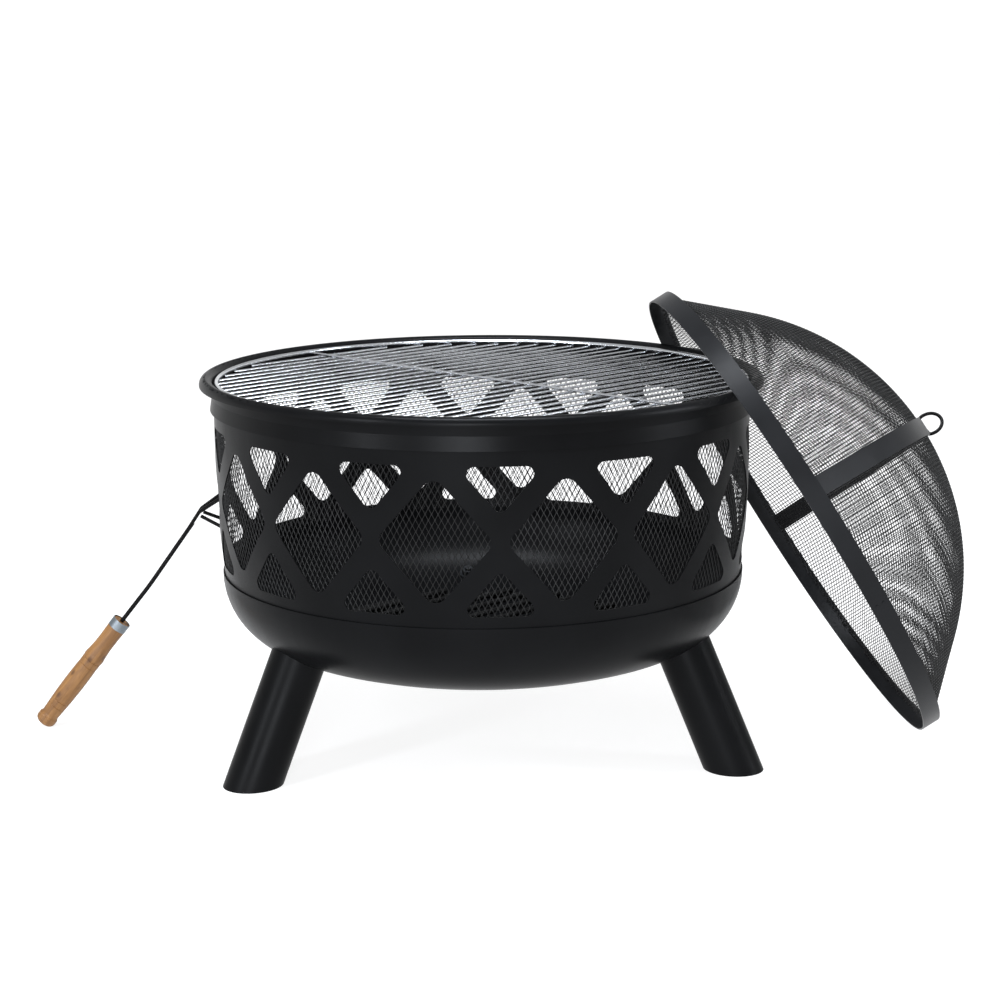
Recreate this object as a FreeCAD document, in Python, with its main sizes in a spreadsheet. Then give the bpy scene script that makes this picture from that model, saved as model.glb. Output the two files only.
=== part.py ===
import FreeCAD, Part
import os
import math

import Sketcher
from FreeCAD import Placement, Rotation, Vector

# Fire pit with a cooking grate, a log grate, a spark screen and a poker.
# Millimetres, +Z up.  The origin is on the ground, on the axis of the round pit.
# Angles round the pit are measured from -Y, the front, towards +X.
# The pit stands on three splayed tube legs.  The screen leans on its right side
# with its hoop on the ground, and the poker leans on its left side.

DIMENSIONS = {
    # pressed rim that caps the lattice band
    "rim_radius": 380, "rim_crest": 512, "rim_hem": 1.5,
    "skirt_radius": 363.5, "skirt_bottom": 469,
    "flare_top": 487, "flare_rise": 2.8,
    "rim_sheet": 1.2,
    # lattice band: slightly barrelled, narrower at its foot
    "band_foot_radius": 353.3, "band_radius": 361.4, "band_sheet": 1.2,
    "band_foot": 236, "band_step": 250, "band_full": 400, "band_head": 488,
    "lattice_cells": 14, "lattice_turn": 16.26,
    "diamond_centre": 355.5, "diamond_half_width": 74, "diamond_half_height": 84,
    "diamond_corner": 15,
    "triangle_half_width": 52, "triangle_corner": 9.5,
    "upper_flat": 449.6, "upper_apex": 389, "lower_flat": 261.4, "lower_apex": 322,
    # expanded-metal liner just inside the band
    "liner_gap": 0.3, "liner_sheet": 1.5, "liner_foot": 250, "liner_head": 464,
    # pressed steel tub: shallow dome, round shoulder, upright edge
    "tub_radius": 355.5, "tub_edge": 247, "shoulder_height": 245, "shoulder_radius": 100,
    "dome_radius": 861, "tub_sheet": 1.5,
    # tube legs
    "leg_splay": 24.4, "leg_radius": 37, "leg_sheet": 1.8, "leg_turn": 64.5,
    "plate_radius": 35, "plate_thick": 3, "bolt_radius": 5, "bolt_fit": 0.3,
    "bolt_head_radius": 9.2, "bolt_head_height": 6.4, "nut_height": 8, "bolt_end": 4,
    "washer_radius": 12, "washer_thick": 2, "washer_lift": 2.3,
    # tabs that carry the cooking grate
    "tab_reach": 326, "tab_wall": 359.9, "tab_width": 25, "tab_thick": 2, "tab_foot": 470,
    "tab_turn": 40.6,
    # cooking grate
    "grate_radius": 357, "grate_wire": 3, "grate_bar": 1.8, "grate_bars": 28,
    "grate_height": 504.5, "grate_turn": 45, "rest_gap": 0.1,
    # log grate on the floor of the tub
    "log_radius": 235, "log_wire": 4, "log_bars": 13, "log_gap": 0.3,
    # spark screen: a hoop, a wire dome and two crossed straps
    "hoop_radius": 350, "hoop_sheet": 2, "hoop_width": 25.4,
    "screen_radius": 358, "screen_apex": 211, "screen_slope": 48, "mesh_thick": 1.8,
    "mesh_end": 4, "strap_width": 27, "strap_thick": 2, "strap_end": 9, "strap_rise": 2.05,
    "eye_height": 227.8, "eye_radius": 17.8, "eye_wire": 2.4, "eye_turn": 54.6,
    "eye_seat": 0.25, "stud_radius": 2.5, "stud_fit": 0.15, "stud_below": 11,
    "collar_radius": 5, "collar_height": 2,
    "screen_washer_radius": 8, "screen_washer_thick": 1.2,
    "screen_nut_radius": 4.6, "screen_nut_height": 4,
    "rivet_radius": 1.8, "rivet_head": 0.8, "rivet_pitch": 9, "rivet_turn": -62,
    "screen_x": 429, "screen_y": 43.3, "screen_lean": 31.05, "screen_yaw": 6.15, "screen_spin": -19,
    # poker with a turned wooden handle
    "poker_y": 45, "handle_x": -625.5, "handle_z": 6.3, "handle_rise": 51.6,
    "handle_length": 187.5, "handle_bore": 3.05, "bore_bottom": 126,
    "ferrule_foot": 175.5, "ferrule_length": 13, "ferrule_radius": 13.2, "ferrule_sheet": 0.95,
    "rod_radius": 3, "rod_bend": 400, "rod_straight": 255, "rod_end_x": -404, "rod_end_z": 294.5,
    "prong_radius": 2.5, "prong_bend": 10,
}

LEG_UNDER, LEG_OVER = 260, 60   # leg blank, below and above the tub's surface, before trimming
HOLE_REACH = 20       # how far the cutter of a bolt hole stands out on both sides of the tub
WELD_GAP = 0.1        # between parts that touch, so that each stays a separate solid
BOLT_GAP = 0.05       # between a bolt, its washer and its nut, stacked face to face
PRESS_GAP = 0.05      # between the ferrule and the wood it is pressed on
RIVET_GAP = 0.02      # between a rivet's head and the hoop
CUT_ROOM = 1          # how far a cutter stands out past the face it cuts
STUD_REACH = 30       # how far the cutter round the stud reaches on both sides of the dome
BORE_ROOM = 1         # between the end of the rod and the bottom of the handle's bore
GROOVE_DEPTH, GROOVE_WIDTH = 0.6, 2

# points of the poker's fork: x, distance to either side of the rod, z
PRONG_POINTS = [(-421, 5.7, 270.3), (-393, 14, 312.5), (-363, 25, 333)]
HOOK_POINTS = [(-390.4, 13.6, 306.8), (-363, 22, 294)]

doc = FreeCAD.newDocument("FirePit")
sheet = doc.addObject("Spreadsheet::Sheet", "Sizes")


class Size:
    """A value from the sheet, together with the formula that binds it there."""

    def __init__(self, value, formula):
        self.value = float(value)
        self.formula = formula

    def __add__(self, other):
        other = as_size(other)
        return Size(self.value + other.value, f"({self.formula} + {other.formula})")

    def __sub__(self, other):
        other = as_size(other)
        return Size(self.value - other.value, f"({self.formula} - {other.formula})")

    def __mul__(self, other):
        other = as_size(other)
        return Size(self.value * other.value, f"({self.formula} * {other.formula})")

    def __truediv__(self, other):
        other = as_size(other)
        return Size(self.value / other.value, f"({self.formula} / {other.formula})")

    def __neg__(self):
        return Size(-self.value, f"(-1 * {self.formula})")

    def __rsub__(self, other):
        return as_size(other) - self

    __radd__ = __add__
    __rmul__ = __mul__


def as_size(amount):
    return amount if isinstance(amount, Size) else Size(amount, str(float(amount)))


def root(amount):
    return Size(math.sqrt(amount.value), f"sqrt({amount.formula})")


def sine(angle):
    return Size(math.sin(math.radians(angle.value)), f"sin({angle.formula})")


def cosine(angle):
    return Size(math.cos(math.radians(angle.value)), f"cos({angle.formula})")


def fill_sheet():
    for row, (alias, value) in enumerate(DIMENSIONS.items(), start=1):
        sheet.set(f"A{row}", alias)
        sheet.set(f"B{row}", str(value))
        sheet.setAlias(f"B{row}", alias)
    doc.recompute()


def cell(alias):
    return Size(sheet.get(alias), f"Sizes.{alias}")


def bind(item, name, size):
    """Set a property to a size and tie it to the sheet."""
    size = as_size(size)
    setattr(item, name, size.value)
    item.setExpression(name, size.formula)


def place(item, where=(0, 0, 0), rotation=None):
    """Give an object its Placement, with the position tied to the sheet."""
    where = [as_size(part) for part in where]
    item.Placement = Placement(Vector(*[part.value for part in where]), rotation or Rotation())
    for letter, part in zip("xyz", where):
        item.setExpression(f"Placement.Base.{letter}", part.formula)
    return item


def turned(angle):
    """Rotation about the pit's axis."""
    return Rotation(Vector(0, 0, 1), as_size(angle).value)


# ---------------------------------------------------------------- building blocks

def origin_part(body, role):
    return next(part for part in body.Origin.OriginFeatures if part.Role == role)


def sketch_on(body, plane, name):
    sketch = body.newObject("Sketcher::SketchObject", name)
    sketch.AttachmentSupport = [(origin_part(body, plane), "")]
    sketch.MapMode = "FlatFace"
    return sketch


def side_curve(start, end, radius):
    """A straight side, or a minor arc: counter-clockwise if radius > 0, clockwise if < 0."""
    if radius is None:
        return Part.LineSegment(start, end)
    chord = end - start
    left = Vector(-chord.y, chord.x, 0).normalize()
    reach = math.sqrt(max(radius * radius - chord.Length ** 2 / 4, 0))
    centre = (start + end) / 2 + left * math.copysign(reach, radius)
    if radius < 0:
        start, end = end, start
    angles = [math.atan2(point.y - centre.y, point.x - centre.x) for point in (start, end)]
    return Part.ArcOfCircle(Part.Circle(centre, Vector(0, 0, 1), abs(radius)), *angles)


def pin_to_sheet(sketch, kind, size, *anchor):
    index = sketch.addConstraint(Sketcher.Constraint(kind, *anchor, size.value))
    sketch.setExpression(f"Constraints[{index}]", size.formula)


def outline(sketch, corners, arcs=None, rounding=None):
    """Draw a closed outline through corners.

    arcs gives the radius of the side that starts at a corner, by the corner's number;
    rounding is the radius that takes off every corner.
    """
    arcs = arcs or {}
    corners = [(as_size(x), as_size(y)) for x, y in corners]
    points = [Vector(x.value, y.value, 0) for x, y in corners]
    count = len(points)
    sides = []
    for number in range(count):
        radius = arcs[number].value if number in arcs else None
        curve = side_curve(points[number], points[(number + 1) % count], radius)
        sides.append(sketch.addGeometry(curve, False))
    flipped = [number in arcs and arcs[number].value < 0 for number in range(count)]
    first = [2 if flip else 1 for flip in flipped]
    last = [1 if flip else 2 for flip in flipped]
    for number in range(count):
        after = (number + 1) % count
        sketch.addConstraint(Sketcher.Constraint(
            "Coincident", sides[number], last[number], sides[after], first[after]))
    for number, (x, y) in enumerate(corners):
        pin_to_sheet(sketch, "DistanceX", x, -1, 1, sides[number], first[number])
        pin_to_sheet(sketch, "DistanceY", y, -1, 1, sides[number], first[number])
    for number, radius in arcs.items():
        size = radius if radius.value > 0 else -radius
        pin_to_sheet(sketch, "Radius", size, sides[number])
    if rounding is not None:
        for side in sides:
            sketch.fillet(side, 2, rounding.value, True, True)
            pin_to_sheet(sketch, "Radius", rounding, sketch.GeometryCount - 2)


def revolved(label, corners, arcs=None):
    """A body turned about +Z from its right-hand section."""
    body = doc.addObject("PartDesign::Body", label)
    sketch = sketch_on(body, "XZ_Plane", label + "_section")
    outline(sketch, corners, arcs)
    turn = body.newObject("PartDesign::Revolution", label + "_turn")
    turn.Profile = sketch
    turn.ReferenceAxis = (sketch, ["V_Axis"])
    turn.Angle = 360
    return body


def cylinder(name, radius, height, where=(0, 0, 0), rotation=None):
    item = doc.addObject("Part::Cylinder", name)
    bind(item, "Radius", radius)
    bind(item, "Height", height)
    return place(item, where, rotation)


def hexagon(name, radius, height, where=(0, 0, 0), rotation=None):
    item = doc.addObject("Part::Prism", name)
    item.Polygon = 6
    bind(item, "Circumradius", radius)
    bind(item, "Height", height)
    return place(item, where, rotation)


def torus(name, radius, wire, where=(0, 0, 0), rotation=None):
    item = doc.addObject("Part::Torus", name)
    bind(item, "Radius1", radius)
    bind(item, "Radius2", wire)
    return place(item, where, rotation)


def ball(name, radius, where):
    item = doc.addObject("Part::Sphere", name)
    bind(item, "Radius", radius)
    return place(item, where)


def box(name, sizes, where, rotation=None):
    item = doc.addObject("Part::Box", name)
    for side, size in zip(("Length", "Width", "Height"), sizes):
        bind(item, side, size)
    return place(item, where, rotation)


def cut(name, base, tool):
    item = doc.addObject("Part::Cut", name)
    item.Base = base
    item.Tool = tool
    return item


def common(name, base, tool):
    item = doc.addObject("Part::Common", name)
    item.Base = base
    item.Tool = tool
    return item


def fused(name, pieces):
    item = doc.addObject("Part::MultiFuse", name)
    item.Shapes = pieces
    return item


def group(name, pieces, placement=None):
    """Separate solids kept together, or one form set down in its place."""
    item = doc.addObject("Part::Compound", name)
    item.Links = pieces
    if placement is not None:
        item.Placement = placement
    return item


# ---------------------------------------------------------------- pit: rim, band, liner, tub

def rim_ring():
    """Skirt that flares at its foot, rolled over outwards at its head into a hanging hem."""
    sheet_thick = cell("rim_sheet")
    outer = cell("skirt_radius")
    inner = outer - sheet_thick
    roll = (cell("rim_radius") - inner) / 2
    under = roll - sheet_thick
    middle = inner + roll
    level = cell("rim_crest") - roll
    hem = level - cell("rim_hem")
    foot, top, rise = cell("skirt_bottom"), cell("flare_top"), cell("flare_rise")
    edge = cell("rim_radius")
    corners = [
        (outer + rise, foot), (outer, top), (outer, level), (middle, level + under),
        (edge - sheet_thick, level), (edge - sheet_thick, hem), (edge, hem), (edge, level),
        (middle, level + roll), (inner, level), (inner, top), (inner + rise, foot),
    ]
    arcs = {2: -under, 3: -under, 7: roll, 8: roll}
    return revolved("rim_ring", corners, arcs)


def barrel_section(outset, thick, foot, step, full, head):
    """Corners and arcs of a barrelled sheet wall, set inwards from the band by outset."""
    low = cell("band_foot_radius") - outset
    high = cell("band_radius") - outset
    rise = full - step
    swell = high - low
    bow = (rise * rise + swell * swell) / (2 * swell)
    corners = [
        (low, foot), (low, step), (high, full), (high, head),
        (high - thick, head), (high - thick, full), (low - thick, step), (low - thick, foot),
    ]
    return corners, {1: bow, 5: -bow}


def lattice_holes(body):
    """One diamond and, half a cell away, one pair of triangles, repeated round the band."""
    centre = cell("diamond_centre")
    wide, tall = cell("diamond_half_width"), cell("diamond_half_height")
    diamond = sketch_on(body, "XZ_Plane", "diamond")
    outline(diamond, [(wide, centre), (0, centre + tall), (-wide, centre), (0, centre - tall)],
            rounding=cell("diamond_corner"))
    triangles = sketch_on(body, "XZ_Plane", "triangles")
    triangles.AttachmentOffset = Placement(
        Vector(), Rotation(Vector(0, 1, 0), 180 / cell("lattice_cells").value))
    triangles.setExpression("AttachmentOffset.Rotation.Angle", "180 / Sizes.lattice_cells")
    wide = cell("triangle_half_width")
    for flat, apex in (("upper_flat", "upper_apex"), ("lower_flat", "lower_apex")):
        outline(triangles, [(-wide, cell(flat)), (wide, cell(flat)), (0, cell(apex))],
                rounding=cell("triangle_corner"))
    pockets = []
    for sketch in (diamond, triangles):
        pocket = body.newObject("PartDesign::Pocket", sketch.Name + "_cut")
        pocket.Profile = sketch
        pocket.Type = "Length"
        bind(pocket, "Length", cell("rim_radius"))
        pockets.append(pocket)
    pattern = body.newObject("PartDesign::PolarPattern", "lattice")
    pattern.Originals = pockets
    pattern.Axis = (origin_part(body, "Z_Axis"), [""])
    pattern.Angle = 360
    pattern.Occurrences = int(cell("lattice_cells").value)
    pattern.setExpression("Occurrences", "Sizes.lattice_cells")
    body.Tip = pattern


def lattice_band():
    corners, arcs = barrel_section(as_size(0), cell("band_sheet"), cell("band_foot"),
                                   cell("band_step"), cell("band_full"), cell("band_head"))
    body = revolved("lattice_band", corners, arcs)
    doc.recompute()
    plain = body.Shape.Volume
    lattice_holes(body)
    body.Placement = Placement(Vector(), turned(cell("lattice_turn")))
    doc.recompute()
    if body.Shape.Volume > 0.75 * plain:
        raise RuntimeError("the lattice openings were not cut")
    return body


def mesh_liner():
    """The envelope of the expanded-metal sheet, as one closed thin wall."""
    outset = cell("band_sheet") + cell("liner_gap")
    corners, arcs = barrel_section(outset, cell("liner_sheet"), cell("liner_foot") - 2,
                                   cell("liner_foot"), cell("band_full"), cell("liner_head"))
    return revolved("mesh_liner", corners, arcs)


def shoulder_axis():
    """Radius of the circle on which the centre of the tub's shoulder arc runs."""
    return cell("tub_radius") - cell("shoulder_radius")


def dome_middle():
    """Height of the centre of the dome that is tangent to the shoulder inside it."""
    span = cell("dome_radius") - cell("shoulder_radius")
    return cell("shoulder_height") + root(span * span - shoulder_axis() * shoulder_axis())


def tub_form(name, inset, head):
    """Solid form of the tub, offset inwards by inset, up to the height head."""
    dome = cell("dome_radius") - inset
    shoulder = cell("shoulder_radius") - inset
    level = cell("shoulder_height")
    share = dome / (cell("dome_radius") - cell("shoulder_radius"))
    middle = dome_middle()
    wall = cell("tub_radius") - inset
    corners = [
        (0, middle - dome),
        (shoulder_axis() * share, middle - (middle - level) * share),
        (wall, level), (wall, head), (0, head),
    ]
    return revolved(name, corners, {0: dome, 1: shoulder})


def tub(outer_form):
    hollow = tub_form("tub_hollow", cell("tub_sheet"), cell("tub_edge") + CUT_ROOM)
    shell = cut("tub_shell", outer_form, hollow)
    holes = []
    for name, turn in leg_turns():
        hole = cylinder(f"bolt_hole_{name}", cell("bolt_radius") + cell("bolt_fit"),
                        cell("tub_sheet") + 2 * HOLE_REACH, joint_point(-HOLE_REACH),
                        leg_rotation())
        holes.append(group(f"bolt_hole_at_{name}", [hole], Placement(Vector(), turn)))
    return cut("tub", shell, fused("bolt_holes", holes))


# ---------------------------------------------------------------- legs

def leg_turns():
    """Name and turn of each leg from the front: two forward, one at the rear."""
    start = cell("leg_turn").value
    names = ("right", "rear", "left")
    return [(name, turned(start + 120 * number)) for number, name in enumerate(names)]


def leg_rotation():
    """Turns +Z to the axis of a leg at the front, leaning in towards the pit."""
    return Rotation(Vector(1, 0, 0), -cell("leg_splay").value)


def joint_point(along):
    """Point on a front leg's axis, at a distance above the tub's outer surface."""
    splay = cell("leg_splay")
    out = shoulder_axis() + (cell("shoulder_radius") - along) * sine(splay)
    up = cell("shoulder_height") - (cell("shoulder_radius") - along) * cosine(splay)
    return (0, -out, up)


def leg_form(outer_form):
    """Tube cut level with the ground at its foot and to the tub's curve at its head."""
    blank = cylinder("leg_blank", cell("leg_radius"), LEG_UNDER + LEG_OVER,
                     joint_point(-LEG_UNDER), leg_rotation())
    core = cylinder("leg_core", cell("leg_radius") - cell("leg_sheet"),
                    LEG_UNDER + LEG_OVER + 2 * CUT_ROOM, joint_point(-LEG_UNDER - CUT_ROOM),
                    leg_rotation())
    tube = cut("leg_tube", blank, core)
    side = 2 * cell("rim_radius")
    ground = box("ground", (side, side, LEG_UNDER), (-side / 2, -side, -LEG_UNDER))
    standing = cut("leg_standing", tube, ground)
    return cut("leg_form", standing, outer_form)


def leg_plate_form():
    """Welded disc inside the head of the leg, which takes the bolt."""
    thick = cell("plate_thick")
    low = -(thick + WELD_GAP)
    disc = cylinder("plate_disc", cell("plate_radius"), thick, joint_point(low), leg_rotation())
    hole = cylinder("plate_hole", cell("bolt_radius") + cell("bolt_fit"), thick + 2 * CUT_ROOM,
                    joint_point(low - CUT_ROOM), leg_rotation())
    return cut("plate_form", disc, hole)


def leg_bolt_form():
    """Bolt with its head under the plate and its end up inside the tub."""
    under = cell("plate_thick") + WELD_GAP + BOLT_GAP
    head = hexagon("bolt_head", cell("bolt_head_radius"), cell("bolt_head_height"),
                   joint_point(-under - cell("bolt_head_height")), leg_rotation())
    stack = cell("washer_lift") + cell("washer_thick") + cell("nut_height") + cell("bolt_end")
    shank = cylinder("bolt_shank", cell("bolt_radius"), under + stack,
                     joint_point(-under), leg_rotation())
    return fused("bolt_form", [head, shank])


def leg_washer_form():
    low = cell("washer_lift")
    disc = cylinder("washer_disc", cell("washer_radius"), cell("washer_thick"),
                    joint_point(low), leg_rotation())
    hole = cylinder("washer_hole", cell("bolt_radius") + cell("bolt_fit"),
                    cell("washer_thick") + 2 * CUT_ROOM, joint_point(low - CUT_ROOM),
                    leg_rotation())
    return cut("washer_form", disc, hole)


def leg_nut_form():
    low = cell("washer_lift") + cell("washer_thick") + BOLT_GAP
    block = hexagon("nut_block", cell("bolt_head_radius"), cell("nut_height"),
                    joint_point(low), leg_rotation())
    hole = cylinder("nut_hole", cell("bolt_radius") + BOLT_GAP,
                    cell("nut_height") + 2 * CUT_ROOM, joint_point(low - CUT_ROOM),
                    leg_rotation())
    return cut("nut_form", block, hole)


def legs(outer_form):
    forms = {
        "leg": leg_form(outer_form),
        "leg_plate": leg_plate_form(),
        "leg_bolt": leg_bolt_form(),
        "leg_washer": leg_washer_form(),
        "leg_nut": leg_nut_form(),
    }
    return [group(f"{kind}_{name}", [form], Placement(Vector(), turn))
            for kind, form in forms.items() for name, turn in leg_turns()]


# ---------------------------------------------------------------- grates

def grate_tabs():
    """Four angle brackets inside the skirt; the grate's bars lie on them."""
    top = cell("grate_height") - cell("grate_wire") - 2 * cell("grate_bar") - cell("rest_gap")
    thick, wall, reach = cell("tab_thick"), cell("tab_wall"), cell("tab_reach")
    foot = cell("tab_foot")
    corners = [
        (reach, top), (reach, top - thick), (wall - thick, top - thick),
        (wall - thick, foot), (wall, foot), (wall, top),
    ]
    tabs = []
    for number in range(4):
        body = doc.addObject("PartDesign::Body", f"grate_tab_{number + 1}")
        sketch = sketch_on(body, "XZ_Plane", f"tab_section_{number + 1}")
        outline(sketch, corners)
        pad = body.newObject("PartDesign::Pad", f"tab_pad_{number + 1}")
        pad.Profile = sketch
        bind(pad, "Length", cell("tab_width"))
        pad.SideType = "Symmetric"
        body.Placement = Placement(Vector(), turned(cell("tab_turn") + 90 * number))
        tabs.append(body)
    return tabs


def parallel_bars(name, count, reach, radius, level):
    """Equally spaced parallel bars across a circle, as separate solids."""
    turn = cell("grate_turn").value
    along = turned(turn).multVec(Vector(1, 0, 0))
    across = turned(turn).multVec(Vector(0, 1, 0))
    lie_down = Rotation(Vector(0, 0, 1), along)
    pitch = 2 * reach / (count + 1)
    bars = []
    for number in range(int(count.value)):
        offset = pitch * (number + 1) - reach
        half = root(reach * reach - offset * offset)
        start = (offset * across.x - half * along.x, offset * across.y - half * along.y, level)
        bars.append(cylinder(f"{name}_{number + 1}", radius, 2 * half, start, lie_down))
    return group(name, bars)


def cross_wire(name, half, radius, level):
    """One wire through the middle, square to the bars."""
    along = turned(cell("grate_turn").value - 90).multVec(Vector(1, 0, 0))
    start = (-half * along.x, -half * along.y, level)
    return cylinder(name, radius, 2 * half, start, Rotation(Vector(0, 0, 1), along))


def cooking_grate():
    """Chromed wire: the ring and the cross wire lie on top of the bars."""
    wire, bar = cell("grate_wire"), cell("grate_bar")
    level = cell("grate_height")
    bars_level = level - wire - bar
    reach = cell("grate_radius")
    return [
        torus("grate_ring", reach, wire, (0, 0, level)),
        parallel_bars("grate_bars", cell("grate_bars"), reach, bar, bars_level),
        cross_wire("grate_cross_wire", reach - wire - WELD_GAP, bar, bars_level + 2 * bar),
    ]


def log_grate():
    """Heavy bars on a ring that rests on the floor of the tub."""
    wire, reach = cell("log_wire"), cell("log_radius")
    floor = cell("dome_radius") - cell("tub_sheet") - wire - cell("log_gap")
    level = dome_middle() - root(floor * floor - reach * reach)
    return [
        torus("log_grate_ring", reach, wire, (0, 0, level)),
        parallel_bars("log_grate_bars", cell("log_bars"), reach, wire, level + 2 * wire),
        cross_wire("log_grate_cross_bar", reach - wire - WELD_GAP, wire, level),
    ]


# ---------------------------------------------------------------- spark screen
# Its pieces are made round +Z, with the hoop centred on the origin, and then
# turned and set down together.

def screen_placement():
    """Hoop on edge on the ground, leaning on the rim."""
    lean = math.radians(cell("screen_lean").value)
    height = (cell("hoop_radius").value * math.cos(lean)
              + cell("hoop_width").value / 2 * math.sin(lean))
    rotation = (turned(cell("screen_yaw"))
                * Rotation(Vector(0, 1, 0), 90 - cell("screen_lean").value)
                * turned(cell("screen_spin")))
    return Placement(Vector(cell("screen_x").value, cell("screen_y").value, height), rotation)


def dome_point(offset):
    """Radius and height where the dome's round top meets its straight flank."""
    radius = cell("screen_radius") + offset
    slope = cell("screen_slope")
    middle = cell("screen_apex") - cell("screen_radius")
    return radius * sine(slope), middle + radius * cosine(slope)


def dome_form(name, inner, outer, end, rise=0):
    """Thin dome between two offsets from the middle of the wire cloth."""
    slope = cell("screen_slope")
    middle = cell("screen_apex") - cell("screen_radius") + rise
    corners = []
    arcs = {}
    for offset in (outer, inner):
        reach, level = dome_point(offset)
        level = level + rise
        apex = (0, middle + cell("screen_radius") + offset)
        knee = (reach, level)
        foot = (reach + (level - end) * cosine(slope) / sine(slope), end)
        corners += [apex, knee, foot] if offset is outer else [foot, knee, apex]
    arcs[0] = -(cell("screen_radius") + outer)
    arcs[4] = cell("screen_radius") + inner
    return revolved(name, corners, arcs)


def stud_hole(name, radius):
    """Cutter round the stud's axis, clear of everything at the top of the dome."""
    return cylinder(name, radius, 2 * STUD_REACH, (0, 0, cell("screen_apex") - STUD_REACH))


def loose_stud_hole(name):
    return stud_hole(name, cell("stud_radius") + cell("stud_fit"))


def strap(name, turn, rise):
    """Flat bar bent over the dome; its ends are tucked inside the hoop."""
    lift = cell("mesh_thick") / 2 + WELD_GAP
    shell = dome_form(name + "_shell", lift, lift + cell("strap_thick"),
                      cell("strap_end"), rise)
    width, long = cell("strap_width"), 2 * cell("hoop_radius")
    strip = box(name + "_strip", (long, width, long), (-long / 2, -width / 2, 0))
    strip = group(name + "_strip_turned", [strip], Placement(Vector(), turned(turn)))
    bent = common(name + "_bent", shell, strip)
    return cut(name, bent, loose_stud_hole(name + "_hole"))


def hoop():
    outer = cell("hoop_radius")
    inner = outer - cell("hoop_sheet")
    half = cell("hoop_width") / 2
    return revolved("screen_hoop", [(outer, -half), (outer, half), (inner, half), (inner, -half)])


def hoop_rivets():
    """Two rivets through the lap where the hoop's strip closes."""
    turn = turned(cell("rivet_turn"))
    outward = Rotation(Vector(0, 0, 1), Vector(1, 0, 0))
    head = cell("rivet_head")
    rivets = []
    for number, side in enumerate((-1, 1)):
        along = side * cell("rivet_pitch") / 2
        rivets.append(cylinder(f"rivet_head_{number + 1}", cell("rivet_radius"), head,
                               (cell("hoop_radius") + RIVET_GAP, 0, along), outward))
    return group("hoop_rivets", rivets, Placement(Vector(), turn))


def eye_seat():
    """Height just above the upper strap, where the lifting eye stands."""
    return (cell("screen_apex") + cell("mesh_thick") / 2 + 2 * cell("strap_thick")
            + cell("eye_seat"))


def eye_ring():
    """Closed D-shaped loop: most of a circle, finished by a straight bar along the seat."""
    level, reach, wire = cell("eye_height"), cell("eye_radius"), cell("eye_wire")
    low = eye_seat() + wire
    half = root(reach * reach - (level - low) * (level - low))
    side = 2 * (reach + wire)
    circle = torus("eye_circle", reach, wire, (0, 0, level), Rotation(Vector(0, 1, 0), 90))
    room = box("eye_room", (side, side, side), (-side / 2, -side / 2, low))
    pieces = [common("eye_bow", circle, room),
              cylinder("eye_bar", wire, 2 * half, (0, -half, low), Rotation(Vector(1, 0, 0), -90))]
    for number, end in enumerate((-half, half)):
        pieces.append(ball(f"eye_corner_{number + 1}", wire, (0, end, low)))
    return group("eye_ring", [fused("eye_loop", pieces)],
                 Placement(Vector(), turned(cell("eye_turn"))))


def eye_bolt():
    """Lifting eye: a closed loop standing on a collared stud."""
    seat = eye_seat()
    collar = cylinder("eye_collar", cell("collar_radius"), cell("collar_height"), (0, 0, seat))
    foot = cell("screen_apex") - cell("stud_below")
    stud = cylinder("eye_stud", cell("stud_radius"), seat + cell("eye_wire") - foot,
                    (0, 0, foot))
    return fused("eye_bolt", [eye_ring(), collar, stud])


def eye_washer():
    top = cell("screen_apex") - cell("mesh_thick") / 2 - WELD_GAP
    thick = cell("screen_washer_thick")
    disc = cylinder("eye_washer_disc", cell("screen_washer_radius"), thick, (0, 0, top - thick))
    return cut("eye_washer", disc, loose_stud_hole("eye_washer_hole"))


def eye_nut():
    washer = cell("mesh_thick") / 2 + WELD_GAP + cell("screen_washer_thick")
    top = cell("screen_apex") - washer - BOLT_GAP
    height = cell("screen_nut_height")
    block = hexagon("eye_nut_block", cell("screen_nut_radius"), height, (0, 0, top - height))
    return cut("eye_nut", block, stud_hole("eye_nut_hole", cell("stud_radius") + BOLT_GAP))


def spark_screen():
    half = cell("mesh_thick") / 2
    mesh = cut("screen_mesh", dome_form("screen_mesh_form", -half, half, cell("mesh_end")),
               loose_stud_hole("screen_mesh_hole"))
    pieces = [
        hoop(), hoop_rivets(), mesh,
        strap("strap_lower", 0, as_size(0)), strap("strap_upper", 90, cell("strap_rise")),
        eye_bolt(), eye_washer(), eye_nut(),
    ]
    for piece in pieces:
        piece.Placement = screen_placement().multiply(piece.Placement)
    return pieces


# ---------------------------------------------------------------- poker

def handle_direction():
    rise = math.radians(cell("handle_rise").value)
    return Vector(math.cos(rise), 0, math.sin(rise))


def handle_end():
    return Vector(cell("handle_x").value, cell("poker_y").value, cell("handle_z").value)


def on_handle(item):
    """Set a piece made round +Z down on the handle's axis, its foot at the handle's end."""
    item.Placement = Placement(handle_end(), Rotation(Vector(0, 0, 1), handle_direction()))
    return item


def groove(radius, level):
    """Three corners of a small turned groove."""
    return [(radius, level), (radius - GROOVE_DEPTH, level + GROOVE_WIDTH / 2),
            (radius, level + GROOVE_WIDTH)]


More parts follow.
